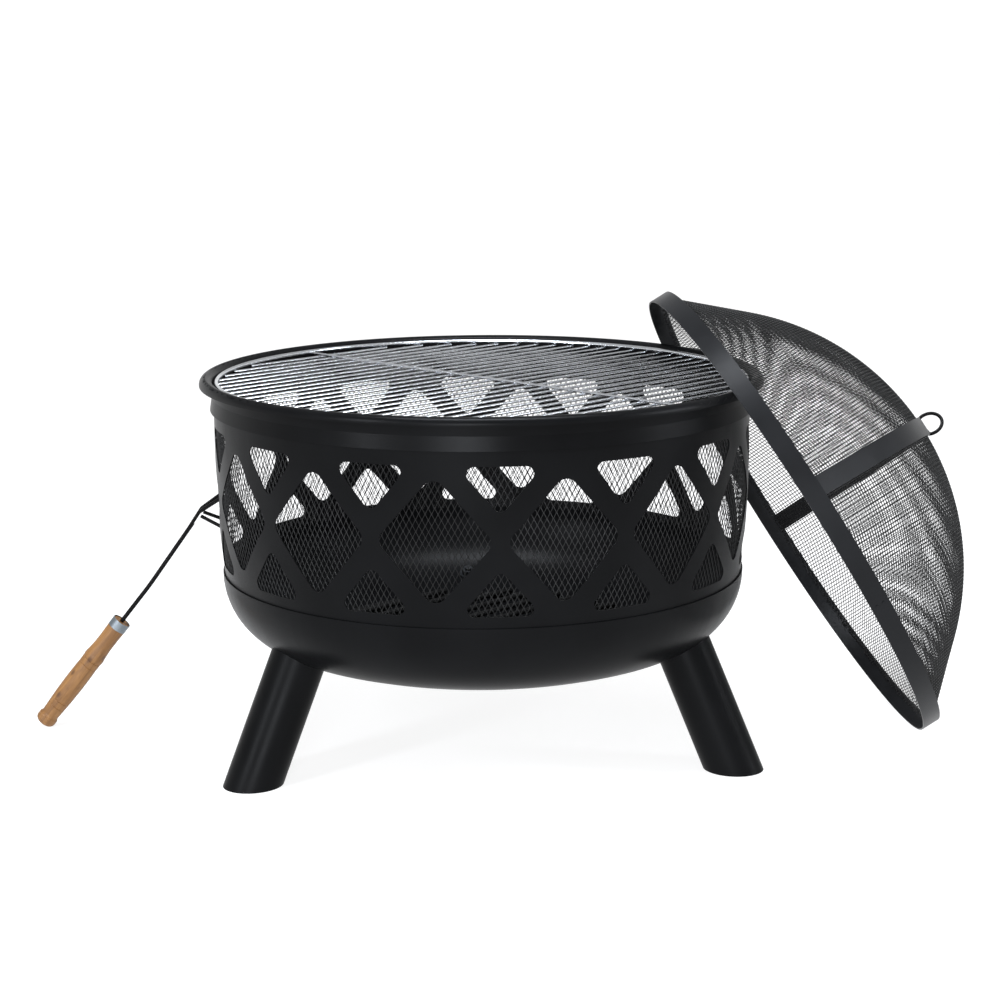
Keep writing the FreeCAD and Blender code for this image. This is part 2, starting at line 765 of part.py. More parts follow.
def wood_handle():
    """Turned handle: end knob, neck, belly between two pairs of grooves, waist."""
    bore = cell("handle_bore")
    long = cell("handle_length")
    foot = cell("ferrule_foot")
    spigot = cell("ferrule_radius") - cell("ferrule_sheet") - PRESS_GAP
    corners = [(0, 0), (9.5, 0), (14.2, 6), (14.2, 12.5), (12.6, 19.5), (12.9, 27)]
    corners += groove(13.2, 31) + groove(13.7, 41)
    belly = len(corners) - 1
    corners += groove(13.9, 106) + groove(14.1, 116)
    crest = len(corners) - 1
    corners += [(13.9, 127), (12.6, 142), (12.5, 156), (13, foot), (spigot, foot),
                (spigot, long), (bore, long), (bore, cell("bore_bottom")),
                (0, cell("bore_bottom"))]
    arcs = {1: as_size(8), 3: as_size(-8), belly: as_size(700), crest: as_size(20)}
    return on_handle(revolved("wood_handle", corners, arcs))


def ferrule():
    outer = cell("ferrule_radius")
    inner = outer - cell("ferrule_sheet")
    foot = cell("ferrule_foot") + PRESS_GAP
    head = foot + cell("ferrule_length")
    return on_handle(revolved(
        "ferrule", [(inner, foot), (outer, foot), (outer, head), (inner, head)]))


def bent_wire(points, radius, bend):
    """Round wire along straight runs joined by tangent arcs."""
    edges = []
    start = points[0]
    for before, corner, after in zip(points, points[1:], points[2:]):
        back = (before - corner).normalize()
        ahead = (after - corner).normalize()
        half_turn = (math.pi - back.getAngle(ahead)) / 2
        run = bend * math.tan(half_turn)
        middle_way = (back + ahead).normalize()
        crown = corner + middle_way * (bend / math.cos(half_turn) - bend)
        arc_start, arc_end = corner + back * run, corner + ahead * run
        edges.append(Part.LineSegment(start, arc_start).toShape())
        edges.append(Part.Arc(arc_start, crown, arc_end).toShape())
        start = arc_end
    edges.append(Part.LineSegment(start, points[-1]).toShape())
    path = Part.Wire(edges)
    section = Part.Wire([Part.Circle(points[0], points[1] - points[0], radius).toShape()])
    return path.makePipeShell([section], True, False)


def solid_feature(name, shape):
    item = doc.addObject("Part::Feature", name)
    item.Shape = shape
    return item


def poker_point(x, side, z):
    return Vector(x, cell("poker_y").value + side, z)


def poker_rod():
    """Rod from inside the handle to the fork, with a slight bend past the ferrule."""
    along = handle_direction()
    points = [handle_end() + along * (cell("bore_bottom").value + BORE_ROOM),
              handle_end() + along * cell("rod_straight").value,
              poker_point(cell("rod_end_x").value, 0, cell("rod_end_z").value)]
    return solid_feature(
        "poker_rod", bent_wire(points, cell("rod_radius").value, cell("rod_bend").value))


def fork_prongs():
    """Upper prongs: two wires that leave the rod side by side and spread apart."""
    radius, bend = cell("prong_radius").value, cell("prong_bend").value
    wires = [bent_wire([poker_point(x, side * spread, z) for x, spread, z in PRONG_POINTS],
                       radius, bend) for side in (-1, 1)]
    return solid_feature("fork_prongs", Part.makeCompound(wires))


def fork_hooks():
    """Lower hooks: short straight wires under the bend of each prong."""
    wires = []
    for side in (-1, 1):
        start, end = [poker_point(x, side * spread, z) for x, spread, z in HOOK_POINTS]
        wires.append(Part.makeCylinder(cell("prong_radius").value, (end - start).Length,
                                       start, end - start))
    return solid_feature("fork_hooks", Part.makeCompound(wires))


# ---------------------------------------------------------------- assembly

def build():
    fill_sheet()
    outer_form = tub_form("tub_outside", as_size(0), cell("tub_edge"))
    pieces = [rim_ring(), lattice_band(), mesh_liner(), tub(outer_form)]
    pieces += legs(outer_form)
    pieces += grate_tabs()
    pieces += cooking_grate()
    pieces += log_grate()
    pieces += spark_screen()
    pieces += [wood_handle(), ferrule(), poker_rod(), fork_prongs(), fork_hooks()]
    doc.recompute()
    return pieces


def check(pieces):
    failed = [item.Name for item in doc.Objects
              if "Invalid" in item.State or "Error" in item.State]
    if failed:
        raise RuntimeError(f"failed features: {failed}")
    for piece in pieces:
        if piece.Shape.isNull() or not piece.Shape.isValid() or not piece.Shape.Solids:
            raise RuntimeError(f"{piece.Label} has no valid shape")


def export(pieces):
    os.makedirs("parts", exist_ok=True)
    for piece in pieces:
        piece.Shape.exportStep(f"parts/{piece.Label}.step")
        room = piece.Shape.BoundBox
        print(f"{piece.Label:22s} solids {len(piece.Shape.Solids):3d}"
              f"  volume {piece.Shape.Volume:12.1f}"
              f"  x {room.XMin:8.1f} {room.XMax:8.1f}  y {room.YMin:8.1f} {room.YMax:8.1f}"
              f"  z {room.ZMin:7.1f} {room.ZMax:7.1f}")


parts = build()
check(parts)
export(parts)
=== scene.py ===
import math

import bpy
import numpy as np
from mathutils import Matrix, Vector


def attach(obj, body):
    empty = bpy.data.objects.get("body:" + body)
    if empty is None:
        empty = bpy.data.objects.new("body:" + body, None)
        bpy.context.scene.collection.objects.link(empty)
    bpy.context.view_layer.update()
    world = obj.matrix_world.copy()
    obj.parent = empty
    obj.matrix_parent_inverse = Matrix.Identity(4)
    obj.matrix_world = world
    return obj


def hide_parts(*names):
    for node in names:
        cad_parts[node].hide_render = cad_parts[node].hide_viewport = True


# Looks of the fire pit: the finishes of every part, the expanded-metal liner, the woven
# wire dome and the studio round them.  Metres, +Z up, origin on the ground under the pit.

MM = 0.001
FULL_TURN = 2 * math.pi

# barrelled wall that the liner follows
BARREL_RADIUS = 361.4 * MM
BARREL_FULL = 400 * MM
BARREL_SWEEP = 1393 * MM
LINER_INSET = 2.25 * MM
LINER_FOOT = 248.6 * MM
LINER_HEAD = 463.4 * MM

# expanded metal: upright strands that touch their neighbours in turn
LINER_STRANDS = 564
LINER_STEP = 7.4 * MM
LINER_BOND = 1.5 * MM
LINER_STRAND_WIDTH = 0.95 * MM
LINER_STRAND_THICK = 0.5 * MM
LINER_STRAND_TILT = math.radians(32)
LINER_PANELS = 2

# leaning spark screen
HOOP_RADIUS = 350 * MM
HOOP_HALF_WIDTH = 12.7 * MM
SCREEN_LEAN = math.radians(31.05)
SCREEN_YAW = math.radians(6.15)
SCREEN_SPIN = math.radians(-19)
SCREEN_X = 429 * MM
SCREEN_Y = 43.3 * MM
DOME_RADIUS = 358 * MM
DOME_APEX = 211 * MM
DOME_SLOPE = math.radians(48)
DOME_END = 4 * MM
DOME_END_RADIUS = 345.8 * MM

# woven wire of the dome
WEAVE_PITCH = 5.2 * MM
WIRE_RADIUS = 0.6 * MM
WIRE_CRIMP = 0.6
WEAVE_PIECES = 3
WEAVE_STRAY = 0.03
WEAVE_STRAY_MOST = 0.25
WEAVE_SEED = 7
LEAST_CROSSINGS = 3
SPARE_CROSSINGS = 3

# steps and guards of the search for the weave's crossings
MIDDLE_STEPS = 6
CROSSING_STEPS = 8
TINY_LENGTH = 1e-9
TINY_AREA = 1e-12

# turned handle
HANDLE_FOOT = (-625.5 * MM, 45 * MM, 6.3 * MM)
HANDLE_RISE = math.radians(51.6)

# corner taken off the sharp edges of the pressed sheets
EDGE_BREAK = 0.3 * MM
EDGE_ANGLE = math.radians(50)

# most of a noise's values lie in this range
NOISE_LOW = 0.3
NOISE_HIGH = 0.7

# satin powder coat: tint of its dark and pale patches, and its orange peel
COAT_DARK = (0.94, 0.98, 1.08)
COAT_PALE = (1.5, 1.56, 1.72)
PATCH_SCALE = 9
PATCH_SHARE = 0.65
PEEL_SCALE = 1100
PEEL_SHARE = 0.35
PEEL_DEPTH = 0.05 * MM
SWAY_SCALE = 14

# paint on wire
WIRE_DARK = 0.8
WIRE_PALE = 1.7
WIRE_PATCH_SCALE = 38
WIRE_GRAIN_SCALE = 2600
WIRE_GRAIN_DEPTH = 0.03 * MM

# plated metal
CLOUD_SCALE = 24
STREAK_SHADE = 0.72

# turned wood: the tan of the grain by position, and the colours of fibres and knots
WOOD_TAN = (
    (0.28, (0.125, 0.054, 0.014)),
    (0.46, (0.195, 0.090, 0.025)),
    (0.6, (0.245, 0.118, 0.035)),
    (0.78, (0.30, 0.158, 0.052)),
)
WOOD_FIBRE = (0.10, 0.040, 0.011)
WOOD_KNOT = (0.06, 0.024, 0.010)
GRAIN_SCALE = 150
GRAIN_STRETCH = (1, 1, 9)
FIBRE_SCALE = 900
FIBRE_STRETCH = (1, 1, 22)
FIBRE_DEPTH = 0.12 * MM
KNOT_SCALE = 46
KNOT_STRETCH = (1, 1, 1.5)
KNOT_STRENGTH = 0.7

# camera
CAMERA_PLACE = (0, -2.8892, 0.9415)
CAMERA_PITCH = 0.2075
CAMERA_YAW = 0.0082
CAMERA_ROLL = -0.0054
CAMERA_LENS = 77.54
SENSOR_WIDTH = 36

# studio
FLOOR_RADIUS = 40
FLOOR_SIDES = 96
FLOOR_GLOW = 0.84
HORIZON_LEVEL = 1.12
HORIZON_RISE = 0.10
SKY_LEVEL = 0.5
SKY_RISE = 0.34
WHITE = (1, 1, 1, 1)
BOX_COLOUR = (0.90, 0.94, 1.0)

# soft boxes: name, place, aim, width, height and power in watts
SOFT_BOXES = (
    ("overhead", (0.0, -0.4, 3.0), (0, 0, 0.3), 1.8, 0.5, 120),
    ("left_box", (-2.4, -2.4, 1.5), (0, 0, 0.35), 0.4, 1.6, 60),
    ("right_box", (3.2, -0.6, 1.6), (0.2, 0, 0.35), 0.5, 1.6, 60),
    ("front_box", (-0.5, -3.8, 1.0), (0, 0, 0.45), 0.8, 0.36, 75),
)


# ---------------------------------------------------------------- materials


class Recipe:
    """A Principled material and short ways to add nodes to it."""

    def __init__(self, name, roughness=0.5, metallic=0.0, specular=0.5):
        self.material = bpy.data.materials.new(name)
        self.material.use_nodes = True
        self.tree = self.material.node_tree
        self.shader = self.tree.nodes["Principled BSDF"]
        self.shader.inputs["Roughness"].default_value = roughness
        self.shader.inputs["Metallic"].default_value = metallic
        self.shader.inputs["Specular IOR Level"].default_value = specular
        self.object_coordinates = self.node("ShaderNodeTexCoord").outputs["Object"]

    def node(self, kind, **settings):
        made = self.tree.nodes.new(kind)
        for name, value in settings.items():
            setattr(made, name, value)
        return made

    def link(self, source, target):
        self.tree.links.new(source, target)

    def mapped(self, location=(0, 0, 0), rotation=(0, 0, 0), scale=(1, 1, 1), source=None):
        """Coordinates measured in a frame that is moved, turned and scaled like this."""
        mapping = self.node("ShaderNodeMapping", vector_type="TEXTURE")
        mapping.inputs["Location"].default_value = location
        mapping.inputs["Rotation"].default_value = rotation
        mapping.inputs["Scale"].default_value = scale
        self.link(source or self.object_coordinates, mapping.inputs["Vector"])
        return mapping.outputs["Vector"]

    def noise(self, scale, detail, rough=0.5, distortion=0.0, source=None):
        made = self.node("ShaderNodeTexNoise")
        made.inputs["Scale"].default_value = scale
        made.inputs["Detail"].default_value = detail
        made.inputs["Roughness"].default_value = rough
        made.inputs["Distortion"].default_value = distortion
        self.link(source or self.object_coordinates, made.inputs["Vector"])
        return made.outputs["Fac"]

    def ramp(self, factor, *stops):
        """Colours by factor; each stop is (position, colour), and a number makes a grey."""
        made = self.node("ShaderNodeValToRGB")
        elements = made.color_ramp.elements
        while len(elements) < len(stops):
            elements.new(0.5)
        for element, (position, colour) in zip(elements, stops):
            element.position = position
            if not hasattr(colour, "__len__"):
                colour = (colour, colour, colour)
            element.color = (*colour, 1)
        self.link(factor, made.inputs["Fac"])
        return made.outputs["Color"]

    def span(self, factor, low, high):
        """The usual range of a noise spread over low to high."""
        made = self.node("ShaderNodeMapRange")
        made.inputs["From Min"].default_value = NOISE_LOW
        made.inputs["From Max"].default_value = NOISE_HIGH
        made.inputs["To Min"].default_value = low
        made.inputs["To Max"].default_value = high
        self.link(factor, made.inputs["Value"])
        return made.outputs["Result"]

    def mixed(self, factor, one, other):
        made = self.node("ShaderNodeMix", data_type="RGBA")
        self.feed(made.inputs["Factor"], factor)
        self.feed(made.inputs["A"], one, colour=True)
        self.feed(made.inputs["B"], other, colour=True)
        return made.outputs["Result"]

    def feed(self, socket, value, colour=False):
        """Link the socket to another, or set it to a number or a colour."""
        if isinstance(value, bpy.types.NodeSocket):
            self.link(value, socket)
        elif colour:
            socket.default_value = (*value, 1)
        else:
            socket.default_value = value

    def maths(self, operation, one, other):
        made = self.node("ShaderNodeMath", operation=operation)
        self.feed(made.inputs[0], one)
        self.feed(made.inputs[1], other)
        return made.outputs[0]

    def colour(self, socket):
        self.link(socket, self.shader.inputs["Base Color"])

    def roughness(self, socket):
        self.link(socket, self.shader.inputs["Roughness"])

    def bump(self, height, distance, normal=None):
        """Raise the surface by the height, up to this distance in metres."""
        made = self.node("ShaderNodeBump")
        made.inputs["Strength"].default_value = 1.0
        made.inputs["Distance"].default_value = distance
        self.link(height, made.inputs["Height"])
        if normal is not None:
            self.link(normal, made.inputs["Normal"])
        self.link(made.outputs["Normal"], self.shader.inputs["Normal"])
        return made.outputs["Normal"]


def powder_coat(name, tone=0.003, gloss=0.33, specular=0.055, sway=0.0):
    """Satin black coat: fine orange peel over faint patches, on sheet that may sway a little."""
    recipe = Recipe(name, specular=specular)
    patches = recipe.noise(PATCH_SCALE, detail=3)
    peel = recipe.noise(PEEL_SCALE, detail=2)
    dark = tuple(tone * tint for tint in COAT_DARK)
    pale = tuple(tone * tint for tint in COAT_PALE)
    recipe.colour(recipe.ramp(patches, (0.3, dark), (0.72, pale)))
    fine = recipe.maths("MULTIPLY", peel, PEEL_SHARE)
    broad = recipe.maths("MULTIPLY", patches, PATCH_SHARE)
    recipe.roughness(recipe.span(recipe.maths("ADD", fine, broad), gloss - 0.05, gloss + 0.07))
    normal = None
    if sway:
        normal = recipe.bump(recipe.noise(SWAY_SCALE, detail=1), sway)
    recipe.bump(peel, PEEL_DEPTH, normal=normal)
    return recipe.material


def wire_coat(name, tone, gloss, specular):
    """Thin paint on wire, a little uneven along it."""
    recipe = Recipe(name, specular=specular)
    patches = recipe.noise(WIRE_PATCH_SCALE, detail=3)
    grain = recipe.noise(WIRE_GRAIN_SCALE, detail=1)
    recipe.colour(recipe.ramp(patches, (0.3, tone * WIRE_DARK), (0.75, tone * WIRE_PALE)))
    recipe.roughness(recipe.span(grain, gloss - 0.08, gloss + 0.1))
    recipe.bump(grain, WIRE_GRAIN_DEPTH)
    return recipe.material


def plated_metal(name, dark, light, gloss, grain=420, relief=0.04 * MM, streaks=0.35):
    """Plated wire or hardware: cloudy, with fine darker streaks."""
    recipe = Recipe(name, metallic=1.0)
    clouds = recipe.noise(CLOUD_SCALE, detail=4)
    fine = recipe.noise(grain, detail=3)
    tone = recipe.ramp(clouds, (0.3, dark), (0.7, light))
    streak = tuple(STREAK_SHADE * part for part in dark)
    recipe.colour(recipe.mixed(recipe.span(fine, 0.0, streaks), tone, streak))
    recipe.roughness(recipe.span(fine, gloss - 0.05, gloss + 0.12))
    recipe.bump(fine, relief)
    return recipe.material


def handle_wood():
    """Turned pale hardwood: grain and fibres along the handle, and small knots."""
    recipe = Recipe("turned_wood", specular=0.4)
    along = recipe.mapped(location=HANDLE_FOOT, rotation=(0, math.pi / 2 - HANDLE_RISE, 0))
    stretched = recipe.mapped(scale=GRAIN_STRETCH, source=along)
    bands = recipe.noise(GRAIN_SCALE, detail=6, rough=0.62, distortion=0.6, source=stretched)
    drawn = recipe.mapped(scale=FIBRE_STRETCH, source=along)
    fibres = recipe.noise(FIBRE_SCALE, detail=3, rough=0.6, source=drawn)
    tan = recipe.ramp(bands, *WOOD_TAN)
    tan = recipe.mixed(recipe.span(fibres, 0.0, 0.35), tan, WOOD_FIBRE)
    knots = recipe.node("ShaderNodeTexVoronoi")
    knots.inputs["Scale"].default_value = KNOT_SCALE
    recipe.link(recipe.mapped(scale=KNOT_STRETCH, source=along), knots.inputs["Vector"])
    spots = recipe.ramp(knots.outputs["Distance"], (0.07, 1.0), (0.2, 0.0))
    recipe.colour(recipe.mixed(recipe.maths("MULTIPLY", spots, KNOT_STRENGTH), tan, WOOD_KNOT))
    recipe.roughness(recipe.span(fibres, 0.42, 0.6))
    recipe.bump(fibres, FIBRE_DEPTH)
    return recipe.material


def break_edges(name):
    """Take the sharp corner off the edges of a sheet part, so that they catch the light."""
    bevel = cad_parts[name].modifiers.new("broken_edge", "BEVEL")
    bevel.width = EDGE_BREAK
    bevel.segments = 1
    bevel.limit_method = "ANGLE"
    bevel.angle_limit = EDGE_ANGLE


def paint(material, *names):
    """Give CAD nodes a finish."""
    for name in names:
        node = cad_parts[name]
        node.data.materials.clear()
        node.data.materials.append(material)


# ---------------------------------------------------------------- mesh pieces


def swept_piece(name, runs, material, smooth):
    """One mesh of four-sided bars.  Each run is an array of rings: (count, 4, 3)."""
    corners = []
    quads = []
    start = 0
    for rings in runs:
        index = start + np.arange(len(rings) * 4).reshape(-1, 4)
        after = np.roll(index, -1, axis=1)
        sides = np.stack([index[:-1], after[:-1], after[1:], index[1:]], axis=-1)
        quads.append(sides.reshape(-1, 4))
        quads.append(index[:1, ::-1])
        quads.append(index[-1:])
        corners.append(rings.reshape(-1, 3))
        start += index.size
    quads = np.concatenate(quads)
    mesh = bpy.data.meshes.new(name)
    mesh.vertices.add(start)
    mesh.vertices.foreach_set("co", np.concatenate(corners).ravel())
    mesh.loops.add(quads.size)
    mesh.loops.foreach_set("vertex_index", quads.ravel())
    mesh.polygons.add(len(quads))
    mesh.polygons.foreach_set("loop_start", np.arange(0, quads.size, 4))
    mesh.polygons.foreach_set("use_smooth", np.full(len(quads), smooth))
    mesh.update(calc_edges=True)
    mesh.validate()
    mesh.materials.append(material)
    piece = bpy.data.objects.new(name, mesh)
    bpy.context.scene.collection.objects.link(piece)
    return piece


def barrel_radius(height):
    """Radius of the liner's mid-surface, which narrows below the barrel's fullest height."""
    below = np.minimum(height - BARREL_FULL, 0)
    return BARREL_RADIUS - LINER_INSET - below ** 2 / (2 * BARREL_SWEEP)


def liner_strand(number):
    """Rings of one upright strand, which leans to one neighbour and then to the other."""
    rows = np.arange(LINER_FOOT + LINER_BOND, LINER_HEAD - LINER_BOND, LINER_STEP)
    heights = np.stack([rows - LINER_BOND / 2, rows + LINER_BOND / 2], axis=1).ravel()
    heights[0] = LINER_FOOT
    heights[-1] = LINER_HEAD
    side = np.where((np.arange(len(rows)) + number) % 2, 1.0, -1.0)
    pitch = FULL_TURN * BARREL_RADIUS / LINER_STRANDS
    swing = (pitch - LINER_STRAND_WIDTH) / 2
    shift = np.repeat(side, 2) * swing
    radius = barrel_radius(heights)
    turn = FULL_TURN * number / LINER_STRANDS + shift / radius
    outward = np.stack([np.sin(turn), -np.cos(turn), 0 * turn], axis=1)
    across = np.stack([np.cos(turn), np.sin(turn), 0 * turn], axis=1)
    centre = outward * radius[:, None] + np.array([0, 0, 1]) * heights[:, None]
    tilt = LINER_STRAND_TILT * np.repeat(side, 2)[:, None]
    wide = (across * np.cos(tilt) + outward * np.sin(tilt)) * LINER_STRAND_WIDTH / 2
    thick = (outward * np.cos(tilt) - across * np.sin(tilt)) * LINER_STRAND_THICK / 2
    return np.stack([centre - wide - thick, centre + wide - thick,
                     centre + wide + thick, centre - wide + thick], axis=1)


def expanded_liner(material):
    share = LINER_STRANDS // LINER_PANELS
    for panel in range(LINER_PANELS):
        runs = [liner_strand(number) for number in range(panel * share, (panel + 1) * share)]
        piece = swept_piece(f"expanded_liner_{panel + 1}", runs, material, smooth=False)
        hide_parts("mesh_liner")
        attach(piece, "fire_pit")


def dome_height(radius):
    """Height of the dome's mid-surface over the hoop's middle plane, and its slope."""
    knee = DOME_RADIUS * math.sin(DOME_SLOPE)
    knee_height = DOME_APEX - DOME_RADIUS * (1 - math.cos(DOME_SLOPE))
    inside = np.sqrt(DOME_RADIUS ** 2 - np.minimum(radius, knee) ** 2)
    outside = np.maximum(radius - knee, 0)
    height = DOME_APEX - DOME_RADIUS + inside
    height = np.where(radius > knee, knee_height - outside * math.tan(DOME_SLOPE), height)
    slope = np.where(radius > knee, -math.tan(DOME_SLOPE), -np.minimum(radius, knee) / inside)
    return height, slope


def dome_point(flat):
    """Points of the dome over plan points."""
    height, _ = dome_height(np.linalg.norm(flat, axis=-1))
    return np.concatenate([flat, height[..., None]], axis=-1)


def dome_normal(points):
    radius = np.maximum(np.linalg.norm(points[..., :2], axis=-1), TINY_LENGTH)
    _, slope = dome_height(radius)
    normal = np.concatenate([-slope[..., None] * points[..., :2] / radius[..., None],
                             np.ones(radius.shape + (1,))], axis=-1)
    return normal / np.linalg.norm(normal, axis=-1, keepdims=True)


def middle_wire(count):
    """Plan radii of the crossings on the wire through the top, one pitch apart."""
    radii = [0.0]
    for _ in range(count - 1):
        guess = radii[-1] + WEAVE_PITCH
        for _ in range(MIDDLE_STEPS):
            here, slope = dome_height(np.array(guess))
            before, _ = dome_height(np.array(radii[-1]))
            across = guess - radii[-1]
            rise = here - before
            miss = across ** 2 + rise ** 2 - WEAVE_PITCH ** 2
            guess = guess - float(miss / (2 * across + 2 * rise * slope))
        radii.append(guess)
    return np.array(radii)


def crossing(first, second, corner):
    """Points on the dome one pitch from both neighbours, opposite the corner."""
    flat = first[:, :2] + second[:, :2] - corner[:, :2]
    for _ in range(CROSSING_STEPS):
        radius = np.maximum(np.linalg.norm(flat, axis=1), TINY_LENGTH)
        height, slope = dome_height(radius)
        point = np.concatenate([flat, height[:, None]], axis=1)
        climb = flat / radius[:, None] * slope[:, None]
        one = point - first
        two = point - second
        miss_one = (one ** 2).sum(1) - WEAVE_PITCH ** 2
        miss_two = (two ** 2).sum(1) - WEAVE_PITCH ** 2
        rate_one = 2 * (one[:, :2] + one[:, 2:] * climb)
        rate_two = 2 * (two[:, :2] + two[:, 2:] * climb)
        area = rate_one[:, 0] * rate_two[:, 1] - rate_one[:, 1] * rate_two[:, 0]
        area = np.where(np.abs(area) < TINY_AREA, TINY_AREA, area)
        step_x = (miss_one * rate_two[:, 1] - miss_two * rate_one[:, 1]) / area
        step_y = (miss_two * rate_one[:, 0] - miss_one * rate_two[:, 0]) / area
        step = np.clip(np.stack([step_x, step_y], axis=1), -WEAVE_PITCH, WEAVE_PITCH)
        flat = flat - step
    return dome_point(flat)


def quarter_net(count):
    """Crossings of a cloth of equal squares laid over a quarter of the dome."""
    radii = middle_wire(count)
    net = np.zeros((count, count, 3))
    zero = 0 * radii
    net[:, 0] = dome_point(np.stack([radii, zero], axis=1))
    net[0, :] = dome_point(np.stack([zero, radii], axis=1))
    for total in range(2, 2 * count - 1):
        i = np.arange(max(1, total - count + 1), min(count, total))
        j = total - i
        net[i, j] = crossing(net[i - 1, j], net[i, j - 1], net[i - 1, j - 1])
    return net


def whole_net():
    """Crossings over the whole dome, by mirroring the quarter."""
    flat_reach = DOME_RADIUS * DOME_SLOPE
    cone_reach = (DOME_END_RADIUS - DOME_RADIUS * math.sin(DOME_SLOPE)) / math.cos(DOME_SLOPE)
    count = int((flat_reach + cone_reach) / WEAVE_PITCH) + SPARE_CROSSINGS
    quarter = quarter_net(count)
    half = np.concatenate([quarter[:0:-1] * (-1, 1, 1), quarter], axis=0)
    return np.concatenate([half[:, :0:-1] * (1, -1, 1), half], axis=1)


def wire_rings(points, raised):
    """Rings of one wire that passes over and under the wires that cross it."""
    normal = dome_normal(points)
    centre = points + normal * (raised * WIRE_CRIMP * WIRE_RADIUS)[:, None]
    along = np.gradient(centre, axis=0)
    across = np.cross(along, normal)
    across /= np.linalg.norm(across, axis=1, keepdims=True)
    upright = np.cross(across, along)
    upright /= np.linalg.norm(upright, axis=1, keepdims=True)
    return np.stack([centre - across * WIRE_RADIUS, centre - upright * WIRE_RADIUS,
                     centre + across * WIRE_RADIUS, centre + upright * WIRE_RADIUS], axis=1)


def dome_wires(net, over, stray):
    """Rings of every wire along the net's first direction, cut off at the dome's edge.

    The stray moves each wire sideways, as a share of the pitch.
    """
    runs = []
    aside = np.gradient(net, axis=1)
    for column in range(net.shape[1]):
        points = net[:, column] + aside[:, column] * stray[column]
        inside = np.flatnonzero(points[:, 2] > DOME_END)
        if len(inside) < LEAST_CROSSINGS:
            continue
        crossings = np.arange(inside[0], inside[-1] + 1)
        bends = np.zeros((2 * len(crossings) - 1, 3))
        bends[::2] = points[crossings]
        bends[1::2] = (bends[:-2:2] + bends[2::2]) / 2
        raised = np.zeros(len(bends))
        raised[::2] = np.where((crossings + column) % 2, 1.0, -1.0) * over
        runs.append(wire_rings(bends, raised))
    return runs


def screen_frame():
    """Where the leaning screen's own frame stands; its hoop rests on the ground."""
    rise = HOOP_RADIUS * math.cos(SCREEN_LEAN) + HOOP_HALF_WIDTH * math.sin(SCREEN_LEAN)
    yaw = Matrix.Rotation(SCREEN_YAW, 4, "Z")
    lean = Matrix.Rotation(math.pi / 2 - SCREEN_LEAN, 4, "Y")
    spin = Matrix.Rotation(SCREEN_SPIN, 4, "Z")
    return Matrix.Translation((SCREEN_X, SCREEN_Y, rise)) @ (yaw @ lean @ spin)


def woven_dome(material):
    net = whole_net()
    place = screen_frame()
    chance = np.random.default_rng(WEAVE_SEED)
    for name, grid, over in (("warp", net, 1.0), ("weft", net.transpose(1, 0, 2), -1.0)):
        stray = chance.normal(0, WEAVE_STRAY, grid.shape[1])
        stray = np.clip(stray, -WEAVE_STRAY_MOST, WEAVE_STRAY_MOST)
        runs = dome_wires(grid, over, stray)
        share = math.ceil(len(runs) / WEAVE_PIECES)
        for part in range(WEAVE_PIECES):
            chosen = runs[part * share:(part + 1) * share]
            piece = swept_piece(f"screen_{name}_{part + 1}", chosen, material, smooth=True)
            piece.data.transform(place)
            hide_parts("screen_mesh")
            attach(piece, "spark_screen")


# ---------------------------------------------------------------- studio


def aim_camera():
    sin_yaw, cos_yaw = math.sin(CAMERA_YAW), math.cos(CAMERA_YAW)
    sin_pitch, cos_pitch = math.sin(CAMERA_PITCH), math.cos(CAMERA_PITCH)
    forward = Vector((sin_yaw * cos_pitch, cos_yaw * cos_pitch, -sin_pitch))
    right = Vector((cos_yaw, -sin_yaw, 0))
    up = right.cross(forward)
    sin_roll, cos_roll = math.sin(CAMERA_ROLL), math.cos(CAMERA_ROLL)
    across = cos_roll * right + sin_roll * up
    above = cos_roll * up - sin_roll * right
    data = bpy.data.cameras.new("camera")
    data.lens = CAMERA_LENS
    data.sensor_width = SENSOR_WIDTH
    camera = bpy.data.objects.new("camera", data)
    columns = Matrix((across, above, -forward)).transposed().to_4x4()
    camera.matrix_world = Matrix.Translation(CAMERA_PLACE) @ columns
    bpy.context.scene.collection.objects.link(camera)
    bpy.context.scene.camera = camera


def pale_floor():
    recipe = Recipe("pale_floor", specular=0.1)
    cloud = recipe.noise(1.5, detail=3)
    recipe.colour(recipe.ramp(cloud, (0.3, 0.29), (0.7, 0.31)))
    recipe.roughness(recipe.span(cloud, 0.85, 0.95))
    recipe.shader.inputs["Emission Color"].default_value = WHITE
    recipe.shader.inputs["Emission Strength"].default_value = FLOOR_GLOW
    mesh = bpy.data.meshes.new("floor")
    angles = [FULL_TURN * step / FLOOR_SIDES for step in range(FLOOR_SIDES)]
    rim = [(FLOOR_RADIUS * math.cos(angle), FLOOR_RADIUS * math.sin(angle), 0) for angle in angles]
    mesh.from_pydata(rim, [], [range(FLOOR_SIDES)])
    mesh.materials.append(recipe.material)
    floor = bpy.data.objects.new("floor", mesh)
    bpy.context.scene.collection.objects.link(floor)


def soft_light(name, place, aim, width, height, power):
    data = bpy.data.lights.new(name, "AREA")
    data.shape = "RECTANGLE"
    data.size = width
    data.size_y = height
    data.energy = power
    data.color = BOX_COLOUR
    light = bpy.data.objects.new(name, data)
    light.location = place
    light.rotation_euler = (Vector(aim) - Vector(place)).to_track_quat("-Z", "Y").to_euler()
    bpy.context.scene.collection.objects.link(light)


